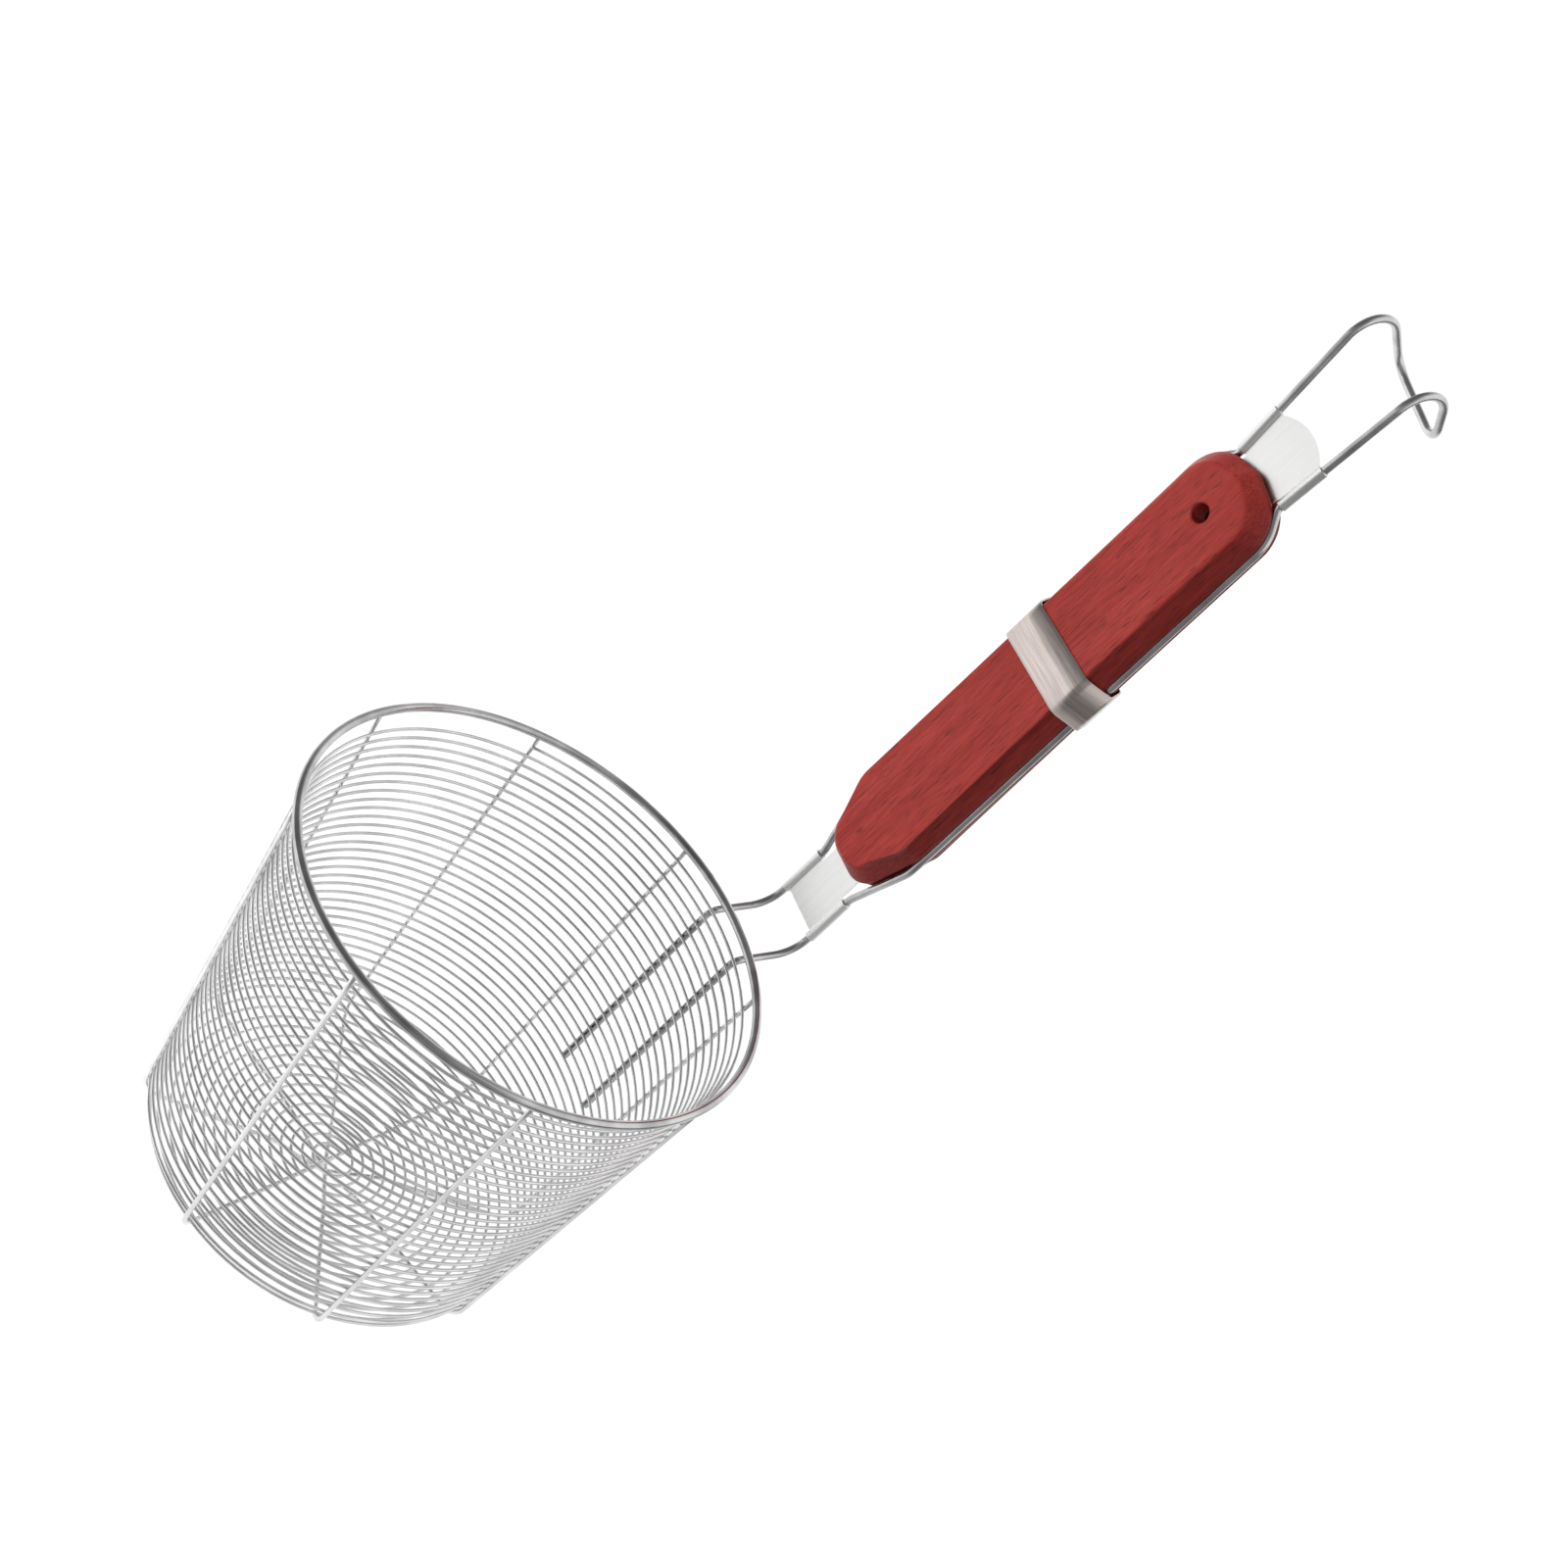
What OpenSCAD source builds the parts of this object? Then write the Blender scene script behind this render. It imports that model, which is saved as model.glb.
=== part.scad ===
/* [Basket] */
// Diameter of the mouth, across the rim wire's centreline
mouth_d = 140; // [130:1:160]
// Diameter of the wound floor where it would meet the wall at a sharp corner
floor_d = 116.2; // [100:0.1:124]
// Height of the rim wire's centre above that corner
depth = 117; // [90:1:140]
// How far the middle of the floor sags below its edge
floor_sag = 1.5; // [0:0.1:3]
// Bend radius of the winding between floor and wall
corner_r = 5; // [3:0.5:8]
// Distance from one turn of the winding to the next
turn_pitch = 3.45; // [2.6:0.05:4.5]
// Radius of the innermost turn
eye_r = 4; // [3:0.5:8]
// Free gap between the last turn's centre and the rim wire's centre
rim_gap = 4.2; // [3.2:0.1:6]

/* [Wires] */
// Diameter of the rim wire
rim_wire_d = 2.6; // [2:0.1:3.4]
// Diameter of the fine winding wire
winding_wire_d = 1; // [0.7:0.1:1.4]
// Diameter of the rib wires
rib_wire_d = 1.5; // [1.2:0.1:2]
// Number of rib wires that cross under the floor
rib_wires = 4; // [4:1:4]
// Diameter of the handle's frame wire
frame_wire_d = 2.3; // [2:0.1:2.8]
// Gap left between wires that touch
touch_gap = 0.03; // [0.02:0.01:0.05]

/* [Legs] */
// Distance between the centres of the two legs
leg_spacing = 18.2; // [14:0.2:22]
// Height of the leg ends above the floor's corner
leg_end_h = 34; // [10:1:60]
// How far below the rim wire's centre the legs turn outwards
leg_turn_drop = 5.6; // [5:0.1:9]
// Radius of that bend
leg_turn_r = 4; // [3:0.5:5]
// How far the handle wires stand outside the rim wire's centreline
handle_offset = 17.8; // [15:0.1:24]
// Angle at which the legs climb between the wall and the handle
leg_climb = 17; // [8:1:24]
// Radius of the bend up into the handle
handle_bend_r = 10; // [7:0.5:12]
// Angle of the handle above the plane of the mouth
handle_lean = 83.5; // [75:0.5:89]

/* [Grip] */
// Length of the wooden scales
grip_l = 155; // [120:1:180]
// Width of the scales at their inner faces
grip_w = 32.4; // [28:0.2:38]
// Thickness of one scale
scale_t = 6.4; // [5:0.1:9]
// Width that the bevel takes off each long edge
bevel_w = 3.6; // [2:0.1:5]
// Corner radius of the end towards the basket
heel_r = 14.6; // [10:0.1:15.5]
// Corner radius of the end towards the hook
tip_r = 10.5; // [6:0.5:15]
// Distance from the handle's foot to the scales
grip_start = 26.3; // [24:0.1:36]
// Diameter of the hanging hole
hole_d = 5.4; // [4:0.1:7]
// Distance from the hook end of the scales to the hole's centre
hole_inset = 14.6; // [13:0.1:20]

/* [Band] */
// Width of the steel band round the grip
band_w = 13.4; // [8:0.1:20]
// Distance from the basket end of the scales to the band
band_start = 77.2; // [40:0.1:100]
// Sheet thickness of the band
band_t = 0.5; // [0.4:0.1:0.8]
// Gap between the band and the scales
band_gap = 0.1; // [0.05:0.05:0.3]

/* [Clips] */
// Sheet thickness of the two clips
clip_t = 0.5; // [0.4:0.1:0.8]
// Length of the front clip's tubes
front_tube_l = 16; // [10:0.5:22]
// Length of the rear clip's tubes
rear_tube_l = 14; // [10:0.5:20]
// How far each clip's web reaches in between the scales
web_tuck = 4; // [2:0.5:6]
// How far the rear web bulges past its tubes
web_bulge = 3; // [1:0.5:5]

/* [Hook] */
// Distance between the wires where they leave the grip for the hook
neck_spacing = 20.6; // [18:0.2:26]
// Distance between the wires at the hook
hook_spacing = 26.5; // [22:0.1:32]
// Distance from the hook end of the scales to the start of the curl
hook_reach = 39.4; // [30:0.1:50]
// How much further along the hand-bent curl starts on the +Y side
hook_skew = 2.5; // [0:0.1:4]
// Radius of the curl
curl_r = 8.5; // [7:0.1:12]
// Angle through which the curl turns
curl_angle = 127; // [100:1:140]
// How much less the +Y side curls than the other
curl_twist = 15; // [0:1:20]
// Straight length between the curl and the corner of the cross bar
curl_tail = 7.5; // [3:0.1:10]
// How much longer that length is on the +Y side
tail_skew = 3.8; // [0:0.1:4]
// Corner radius of the cross bar
crossbar_r = 6; // [4:0.5:9]

/* [Hidden] */

steel = [0.80, 0.80, 0.80];
bright_steel = [0.88, 0.87, 0.86];
varnished_wood = [0.55, 0.17, 0.14];

ring_fn = 96;
wire_fn = 24;
winding_sides = 8;
rib_sides = 8;
frame_sides = 10;
arc_step = 12;
hair = 0.01;

mouth_r = mouth_d / 2;
rim_r = rim_wire_d / 2;
winding_r = winding_wire_d / 2;
rib_r = rib_wire_d / 2;
frame_r = frame_wire_d / 2;

// The ribs hang from the middle of the rim wire, and the winding lies inside them
rib_offset = winding_r + touch_gap + rib_r;
leg_offset = winding_r + touch_gap + frame_r;
floor_r = floor_d / 2;
wall_angle = atan2(depth, mouth_r - rib_offset - floor_r);
wall_out = [sin(wall_angle), -cos(wall_angle)];
wall_up = [cos(wall_angle), sin(wall_angle)];
corner_run = corner_r * tan(wall_angle / 2);
flat_r = floor_r - corner_run;

// Under the floor the rib wires cross one above the other
cross_step = rib_wire_d + touch_gap;
cross_r = 20;
stand_h = floor_sag + rib_offset + (rib_wires - 1) * cross_step + rib_r;

// A point of the floor, corner and wall line at a run t from the axis, moved outwards by d
floor_l = flat_r;
bend_l = corner_r * wall_angle * PI / 180;
wall_top = (depth - corner_run * sin(wall_angle)) / sin(wall_angle) + floor_l + bend_l;
function sag(r) = floor_sag * (1 - pow(r / flat_r, 2));
function shell(t, d) =
    t < floor_l ? [t, -sag(t) - d] :
    t < floor_l + bend_l ?
        let (a = (t - floor_l) * 180 / PI / corner_r)
        [flat_r + (corner_r + d) * sin(a), corner_r - (corner_r + d) * cos(a)] :
        [floor_r, 0] + (corner_run + t - floor_l - bend_l) * wall_up + d * wall_out;

// Bends a chain of straight runs: each corner is [point, bend radius]
function unit(v) = v / norm(v);
function bend(a, p, b, r) =
    let (u = unit(a - p), v = unit(b - p), half = acos(u * v) / 2,
         c = p + unit(u + v) * r / sin(half), e = p + u * r / tan(half) - c,
         f = p + v * r / tan(half) - c, n = max(2, ceil((180 - 2 * half) / arc_step)))
    [for (i = [0:n]) let (q = e * (n - i) + f * i) c + unit(q) * r];
function route(c) =
    [for (i = [0:len(c) - 1])
        each (c[i][1] == 0 ? [c[i][0]] : bend(c[i - 1][0], c[i][0], c[i + 1][0], c[i][1]))];

// Round wire along a list of points, as one closed skin
function heading(p, i) = unit(p[min(i + 1, len(p) - 1)] - p[max(i - 1, 0)]);
function square_to(v, t) = unit(v - (v * t) * t);
function wire_rings(p, r, sides, up) =
    [for (i = 0, n = square_to(up, heading(p, 0)); i < len(p);
          i = i + 1, n = i < len(p) ? square_to(n, heading(p, i)) : n)
        let (m = cross(heading(p, i), n))
        [for (k = [0:sides - 1]) p[i] + r * (cos(360 * k / sides) * n + sin(360 * k / sides) * m)]];
module wire(p, r, sides, up) {
    rings = wire_rings(p, r, sides, up);
    last = (len(p) - 1) * sides;
    polyhedron(
        points = [for (ring = rings) each ring],
        faces = [
            [for (k = [sides - 1:-1:0]) k],
            [for (k = [0:sides - 1]) last + k],
            for (i = [0:len(p) - 2], k = [0:sides - 1])
                each let (a = i * sides + k, b = i * sides + (k + 1) % sides)
                [[a, b, b + sides], [a, b + sides, a + sides]]
        ],
        convexity = 10);
}

module on_basket() {
    translate([0, 0, stand_h]) children();
}

module rim_ring() {
    color(steel) on_basket() translate([0, 0, depth])
        rotate_extrude($fn = ring_fn) translate([mouth_r, 0]) circle(r = rim_r, $fn = wire_fn);
}

// Turns of the fine wire, wound at one pitch over the floor, round the corner and up the wall
last_turn = wall_top - rim_gap / sin(wall_angle);
turns = floor((last_turn - eye_r) / turn_pitch);
module winding() {
    color(steel) on_basket() rotate_extrude($fn = ring_fn)
        for (k = [0:turns]) translate(shell(last_turn - k * turn_pitch, 0))
            circle(r = winding_r, $fn = winding_sides);
}

// One rib wire goes from the rim down the wall, across under the floor and up the other side
rib_top = wall_top - rim_r - touch_gap;
function dip(r) = r < cross_r ? (1 + cos(180 * r / cross_r)) / 2 : 0;
function rib_point(t, i) = let (q = shell(t, rib_offset)) [q[0], 0, q[1] - i * cross_step * dip(t)];
function rib_half(i) = [
    for (t = [0:cross_r / 5:cross_r]) rib_point(t, i),
    for (t = [cross_r + 12:12:floor_l - 1]) rib_point(t, i),
    for (a = [0:arc_step:wall_angle]) rib_point(floor_l + bend_l * a / wall_angle, i),
    rib_point(floor_l + bend_l, i),
    rib_point(rib_top, i)
];
module rib(i) {
    half = rib_half(i);
    far = [for (k = [len(half) - 1:-1:1]) [-half[k][0], 0, half[k][2]]];
    color(bright_steel) on_basket() rotate([0, 0, (i + 0.5) * 180 / rib_wires])
        wire(concat(far, half), rib_r, rib_sides, [0, 1, 0]);
}

// Places along the handle: s runs up its middle from its foot, y across it, n out of its upper face
foot_corner = [mouth_r + handle_offset, depth - leg_turn_drop + (handle_offset + 1) * tan(leg_climb)];
function on_handle(s, y, n) =
    [foot_corner[0] + s * cos(handle_lean) - n * sin(handle_lean), y,
     foot_corner[1] + s * sin(handle_lean) + n * cos(handle_lean)];
module at_handle() {
    translate([foot_corner[0], 0, foot_corner[1] + stand_h]) rotate([0, -handle_lean, 0]) children();
}

// The legs lie against the outside of the winding
function leg_point(h, side) =
    let (t = floor_l + bend_l - corner_run + h / sin(wall_angle), reach = shell(t, leg_offset))
    [sqrt(pow(reach[0], 2) - pow(leg_spacing / 2, 2)), side * leg_spacing / 2, reach[1]];

// The straight run of the handle starts past the bend at its foot
bend_run = handle_bend_r * tan((handle_lean - leg_climb) / 2);
foot_h = bend_run + 0.7;
grip_s = foot_h + grip_start;
grip_end = grip_s + grip_l;
wire_edge = grip_w / 2 - 0.2;
flare_l = 0.15 * grip_l;
waist_r = 12;
leg_half = leg_spacing / 2;
neck_half = neck_spacing / 2;
neck_slope = atan2(hook_spacing / 2 - neck_half, hook_reach + 1);
function neck_y(s) = neck_half + (s - grip_end + 1) * tan(neck_slope);

// The curl of one side, from its start to the corner of the cross bar; side is 1 or -1
function curl_s(side) = grip_end + hook_reach + side * hook_skew / 2;
function curl_turn(side) = curl_angle - side * curl_twist / 2;
function curl(side, a) =
    on_handle(curl_s(side) + curl_r * sin(a), side * neck_y(curl_s(side)), -curl_r * (1 - cos(a)));
function bar_corner(side) =
    let (a = curl_turn(side), run = curl_tail + side * tail_skew / 2 + crossbar_r)
    on_handle(curl_s(side) + curl_r * sin(a) + run * cos(a), side * neck_y(curl_s(side)),
              -curl_r * (1 - cos(a)) - run * sin(a));

// From the end of one leg to the corner of the hook's cross bar
curl_steps = ceil(curl_angle / arc_step);
function frame_side(side) = [
    [leg_point(leg_end_h, side), 0],
    [leg_point(depth - leg_turn_drop, side), leg_turn_r],
    [on_handle(0, side * leg_half, 0), handle_bend_r],
    [on_handle(grip_s + 1, side * leg_half, 0), waist_r],
    [on_handle(grip_s + flare_l, side * wire_edge, 0), waist_r],
    [on_handle(grip_end - flare_l + 3, side * wire_edge, 0), waist_r],
    [on_handle(grip_end - 1, side * neck_half, 0), waist_r],
    for (i = [0:curl_steps]) [curl(side, i * curl_turn(side) / curl_steps), 0],
    [bar_corner(side), crossbar_r]
];
function reversed(list) = [for (k = [len(list) - 1:-1:0]) list[k]];
module frame_wire() {
    color(steel) on_basket()
        wire(route(concat(frame_side(1), reversed(frame_side(-1)))), frame_r, frame_sides, [0, 1, 0]);
}

// A clip is one folded sheet: a tube round each wire and a flat web between them
tube_bore = frame_r + touch_gap;
module tube_axis(s, y, slope) {
    translate([s, y, 0]) rotate([0, 0, slope]) rotate([0, 90, 0]) children();
}
module clip_tubes(s, y, slope, l, r) {
    for (side = [-1, 1]) tube_axis(s, side * y, side * slope) cylinder(r = r, h = l, $fn = wire_fn);
}

front_s = foot_h;
module front_clip() {
    web_end = grip_s + web_tuck;
    color(bright_steel) at_handle() difference() {
        union() {
            clip_tubes(front_s, leg_half, 0, front_tube_l, tube_bore + clip_t);
            translate([front_s + 1, -leg_half, -clip_t / 2])
                cube([front_tube_l - 2, leg_spacing, clip_t]);
            translate([front_s + 1, -leg_half + frame_wire_d, -clip_t / 2])
                cube([web_end - front_s - 1, leg_spacing - 2 * frame_wire_d, clip_t]);
        }
        clip_tubes(front_s - 1, leg_half, 0, front_tube_l + 2, tube_bore);
    }
}

bore_run = 9;
rear_s = grip_end + 1.4;
module rear_clip() {
    web_end = rear_s + rear_tube_l + web_bulge;
    far_y = neck_y(rear_s + rear_tube_l);
    bulge_r = (pow(far_y, 2) + pow(web_bulge + 2, 2)) / 2 / (web_bulge + 2);
    inner_y = neck_half - frame_wire_d;
    color(bright_steel) at_handle() difference() {
        union() {
            clip_tubes(rear_s, neck_y(rear_s), neck_slope, rear_tube_l, tube_bore + clip_t);
            translate([0, 0, -clip_t / 2]) linear_extrude(clip_t) intersection() {
                polygon([
                    [grip_end - web_tuck, -inner_y], [rear_s, -inner_y], [rear_s + 1, -neck_y(rear_s + 1)],
                    [web_end, -neck_y(web_end)], [web_end, neck_y(web_end)],
                    [rear_s + 1, neck_y(rear_s + 1)], [rear_s, inner_y], [grip_end - web_tuck, inner_y]
                ]);
                translate([web_end - bulge_r, 0]) circle(r = bulge_r, $fn = ring_fn);
            }
        }
        clip_tubes(rear_s - bore_run, neck_y(rear_s - bore_run), neck_slope, rear_tube_l + 2 * bore_run, tube_bore);
    }
}

// The scales lie on the wires, which hold them apart
scale_n = frame_r + touch_gap;
module scale_outline(inset) {
    for_heel = max(heel_r - inset / 2, 1);
    for_tip = max(tip_r - inset / 2, 1);
    half = grip_w / 2 - inset;
    hull() for (side = [-1, 1]) {
        translate([grip_s + inset + for_heel, side * (half - for_heel)]) circle(r = for_heel, $fn = 48);
        translate([grip_end - inset / 2 - for_tip, side * (half - for_tip)]) circle(r = for_tip, $fn = 48);
    }
}
module scale_slice(h, inset) {
    translate([0, 0, scale_n + h]) linear_extrude(hair) scale_outline(inset);
}
module scale() {
    difference() {
        hull() {
            scale_slice(0, 0);
            scale_slice(scale_t * 0.25, 0.2);
            scale_slice(scale_t * 0.88, bevel_w * 0.72);
            scale_slice(scale_t - hair, bevel_w);
        }
        translate([grip_end - hole_inset, 0, 0]) cylinder(d = hole_d, h = 3 * scale_t, $fn = wire_fn);
    }
}
module upper_scale() {
    color(varnished_wood) at_handle() scale();
}
module lower_scale() {
    color(varnished_wood) at_handle() mirror([0, 0, 1]) scale();
}

// The band is one strip bent round scales and wires
band_corner = 2.5;
band_stand = 0.9;
module band_outline(grow) {
    edge_y = grip_w / 2 - bevel_w;
    hull() {
        for (side = [-1, 1], face = [-1, 1])
            translate([side * edge_y, face * (scale_n + scale_t - band_corner)])
                circle(r = band_corner + grow, $fn = 32);
        for (side = [-1, 1]) translate([side * (wire_edge + band_stand), 0]) circle(r = frame_r + grow, $fn = 32);
    }
}
module band() {
    color(bright_steel) at_handle() translate([grip_s + band_start, 0, 0])
        rotate([90, 0, 90]) linear_extrude(band_w) difference() {
            band_outline(band_gap + band_t);
            band_outline(band_gap);
        }
}

rim_ring();
winding();
rib(0);  // rib_1
rib(1);  // rib_2
rib(2);  // rib_3
rib(3);  // rib_4
frame_wire();
front_clip();
rear_clip();
upper_scale();
lower_scale();
band();
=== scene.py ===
import math

import bmesh
import bpy
from mathutils import Matrix, Vector, noise


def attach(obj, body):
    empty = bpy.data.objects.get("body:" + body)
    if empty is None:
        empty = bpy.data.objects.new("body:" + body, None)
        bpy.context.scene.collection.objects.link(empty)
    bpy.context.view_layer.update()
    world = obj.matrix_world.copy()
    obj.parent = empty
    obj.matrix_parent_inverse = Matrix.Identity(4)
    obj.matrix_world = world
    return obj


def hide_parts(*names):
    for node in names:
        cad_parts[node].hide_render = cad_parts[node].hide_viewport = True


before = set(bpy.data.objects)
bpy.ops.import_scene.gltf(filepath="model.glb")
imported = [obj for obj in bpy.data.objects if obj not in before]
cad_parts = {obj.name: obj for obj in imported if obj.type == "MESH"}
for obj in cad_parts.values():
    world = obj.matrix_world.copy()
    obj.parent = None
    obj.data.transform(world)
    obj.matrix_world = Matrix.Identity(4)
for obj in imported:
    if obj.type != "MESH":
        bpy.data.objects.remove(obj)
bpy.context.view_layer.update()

MM = 0.001

# Driving sizes in millimetres, as the part has them, apart from the leg ends and the ends of the grip,
# where the photo is followed more closely
MOUTH_R = 70.0
FLOOR_R = 58.1
DEPTH = 117.0
FLOOR_SAG = 1.5
CORNER_R = 5.0
TURN_PITCH = 3.45
EYE_R = 4.0
RIM_GAP = 4.2
RIM_WIRE_R = 1.3
WINDING_R = 0.5
RIB_R = 0.75
FRAME_R = 1.15
TOUCH = 0.03
RIB_WIRES = 4
CROSS_R = 20.0

LEG_HALF = 9.1
LEG_END_H = 40.0
LEG_TURN_DROP = 5.6
LEG_TURN_R = 4.0
HANDLE_OFFSET = 17.8
LEG_CLIMB = math.radians(17)
HANDLE_BEND_R = 10.0
HANDLE_LEAN = math.radians(83.5)

FOOT_H = HANDLE_BEND_R * math.tan((HANDLE_LEAN - LEG_CLIMB) / 2) + 0.7
GRIP_S = FOOT_H + 22.6
GRIP_END = FOOT_H + 181.3
GRIP_HALF = 16.2
SCALE_T = 6.4
BEVEL_W = 3.6
HEEL_R = 8.5
HEEL_HALF = 12.0
HEEL_L = 23.7
SIDE_R = 12.0
SWELL_R = 15.0
TIP_OVER = 1.2
NOSE_R = 8.0
NOSE_OVER = 2.2
TIP_SLANT = 0.55
HOLE_R = 2.7
HOLE_INSET = 14.6
WIRE_EDGE = GRIP_HALF - 0.2
FLARE_START = 1.4
FLARE_END = 15.7
FLARE_R = 8.0
TIP_TURN = 7.0
NECK_S = GRIP_END + 0.3
NECK_R = 2.5
WAIST_R = 12.0
NECK_HALF = 10.3
HOOK_HALF = 13.25
HOOK_REACH = 39.4
HOOK_SKEW = 2.5
CURL_R = 8.5
CURL_ANGLE = math.radians(127)
CURL_TWIST = math.radians(15)
CURL_TAIL = 7.5
TAIL_SKEW = 3.8
CROSSBAR_R = 6.0

CLIP_T = 0.5
FRONT_TUBE_L = 16.0
REAR_TUBE_L = 14.0
REAR_S = GRIP_END + 1.4
WEB_TUCK = 4.0
FRONT_TUCK = 7.7
WEB_BULGE = 3.0
BAND_S = GRIP_S + 80.9
BAND_W = 13.4
BAND_T = 0.5
BAND_GAP = 0.1
BAND_CORNER = 2.5
BAND_STAND = 0.9

RIB_OFFSET = WINDING_R + TOUCH + RIB_R
LEG_OFFSET = WINDING_R + TOUCH + FRAME_R
CROSS_STEP = 2 * RIB_R + TOUCH
STAND_H = FLOOR_SAG + RIB_OFFSET + (RIB_WIRES - 1) * CROSS_STEP + RIB_R
SCALE_N = FRAME_R + TOUCH


# The basket's shell line: floor, corner bend and wall, as a run t from the axis
WALL_ANGLE = math.atan2(DEPTH, MOUTH_R - RIB_OFFSET - FLOOR_R)
CORNER_RUN = CORNER_R * math.tan(WALL_ANGLE / 2)
FLAT_R = FLOOR_R - CORNER_RUN
BEND_L = CORNER_R * WALL_ANGLE
WALL_TOP = (DEPTH - CORNER_RUN * math.sin(WALL_ANGLE)) / math.sin(WALL_ANGLE) + FLAT_R + BEND_L


def shell(t, d):
    """Radius and height of the shell line at the run t, moved outwards by d."""
    if t < FLAT_R:
        return t, -FLOOR_SAG * (1 - (t / FLAT_R) ** 2) - d
    if t < FLAT_R + BEND_L:
        a = (t - FLAT_R) / CORNER_R
        return FLAT_R + (CORNER_R + d) * math.sin(a), CORNER_R - (CORNER_R + d) * math.cos(a)
    run = CORNER_RUN + t - FLAT_R - BEND_L
    return (FLOOR_R + run * math.cos(WALL_ANGLE) + d * math.sin(WALL_ANGLE),
            run * math.sin(WALL_ANGLE) - d * math.cos(WALL_ANGLE))


def on_basket(r, angle, z):
    return Vector((r * math.cos(angle), r * math.sin(angle), z + STAND_H)) * MM


HANDLE_FOOT = Vector((MOUTH_R + HANDLE_OFFSET, 0,
                      DEPTH - LEG_TURN_DROP + (HANDLE_OFFSET + 1) * math.tan(LEG_CLIMB) + STAND_H))
ALONG = Vector((math.cos(HANDLE_LEAN), 0, math.sin(HANDLE_LEAN)))
ACROSS = Vector((0, 1, 0))
OUT = Vector((-math.sin(HANDLE_LEAN), 0, math.cos(HANDLE_LEAN)))


def on_handle(s, y, n):
    """A place on the handle: s along it from its foot, y across it, n out of its upper face."""
    return (HANDLE_FOOT + s * ALONG + y * ACROSS + n * OUT) * MM


def bend(a, p, b, r, step=math.radians(6)):
    """Points of the arc of radius r that rounds the corner p between a and b."""
    u = (a - p).normalized()
    v = (b - p).normalized()
    half = u.angle(v) / 2
    centre = p + (u + v).normalized() * (r / math.sin(half))
    start = p + u * (r / math.tan(half)) - centre
    end = p + v * (r / math.tan(half)) - centre
    count = max(3, math.ceil((math.pi - 2 * half) / step))
    return [centre + start.lerp(end, i / count).normalized() * r for i in range(count + 1)]


def route(corners):
    """A bent wire's centreline from its corners, each with a bend radius or 0."""
    points = []
    for i, (p, r) in enumerate(corners):
        if r == 0:
            points.append(p)
        else:
            points += bend(corners[i - 1][0], p, corners[i + 1][0], r)
    return points


def new_object(name, mesh):
    obj = bpy.data.objects.new(name, mesh)
    bpy.context.scene.collection.objects.link(obj)
    return obj


def finish_mesh(name, bm, smooth=True):
    mesh = bpy.data.meshes.new(name)
    bm.normal_update()
    bm.to_mesh(mesh)
    bm.free()
    for poly in mesh.polygons:
        poly.use_smooth = smooth
    return new_object(name, mesh)


def add_tube(bm, points, radius, sides, closed=False, round_ends=True):
    """Sweeps a circle along points. radius is a number or a function of the point's index."""
    count = len(points)
    radius_at = radius if callable(radius) else (lambda i: radius)

    def heading(i):
        if closed:
            return (points[(i + 1) % count] - points[i - 1]).normalized()
        return (points[min(i + 1, count - 1)] - points[max(i - 1, 0)]).normalized()

    t = heading(0)
    side = t.orthogonal().normalized()
    rings = []
    for i in range(count):
        t = heading(i)
        side = (side - side.dot(t) * t).normalized()
        other = t.cross(side)
        ring = []
        for k in range(sides):
            a = 2 * math.pi * k / sides
            ring.append(bm.verts.new(points[i] + radius_at(i) * (math.cos(a) * side + math.sin(a) * other)))
        rings.append(ring)
    last = count if closed else count - 1
    for i in range(last):
        a, b = rings[i], rings[(i + 1) % count]
        for k in range(sides):
            j = (k + 1) % sides
            bm.faces.new((a[k], a[j], b[j], b[k]))
    if not closed:
        for i, flip in ((0, -1), (count - 1, 1)):
            cap(bm, rings[i], points[i], heading(i) * flip, radius_at(i), round_ends, flip < 0)
    return rings


def cap(bm, ring, centre, outward, radius, rounded, reverse):
    """Closes a tube's end, with its edge broken by a small round."""
    if rounded:
        inner = [bm.verts.new(centre + (v.co - centre) * 0.72 + outward * radius * 0.3) for v in ring]
        for k in range(len(ring)):
            j = (k + 1) % len(ring)
            quad = (ring[k], ring[j], inner[j], inner[k])
            bm.faces.new(tuple(reversed(quad)) if reverse else quad)
        ring = inner
    bm.faces.new(tuple(reversed(ring)) if reverse else tuple(ring))


def wobble(x, seed, amount):
    """A smooth small error of hand work, the same on each run."""
    return amount * noise.noise(Vector((x, seed * 7.3, seed * 3.1)))


# Nodes and materials
def node(tree, kind, **values):
    n = tree.nodes.new(kind)
    for key, value in values.items():
        if key in n.inputs:
            n.inputs[key].default_value = value
        else:
            setattr(n, key, value)
    return n


def link(tree, source, target):
    tree.links.new(source, target)


def new_material(name):
    m = bpy.data.materials.new(name)
    m.use_nodes = True
    bsdf = m.node_tree.nodes["Principled BSDF"]
    return m, m.node_tree, bsdf


def ramp(tree, source, stops):
    r = tree.nodes.new("ShaderNodeValToRGB")
    while len(r.color_ramp.elements) < len(stops):
        r.color_ramp.elements.new(0.5)
    for element, (at, colour) in zip(r.color_ramp.elements, stops):
        element.position = at
        element.color = (*colour, 1) if len(colour) == 3 else colour
    link(tree, source, r.inputs["Fac"])
    return r.outputs["Color"]


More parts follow.
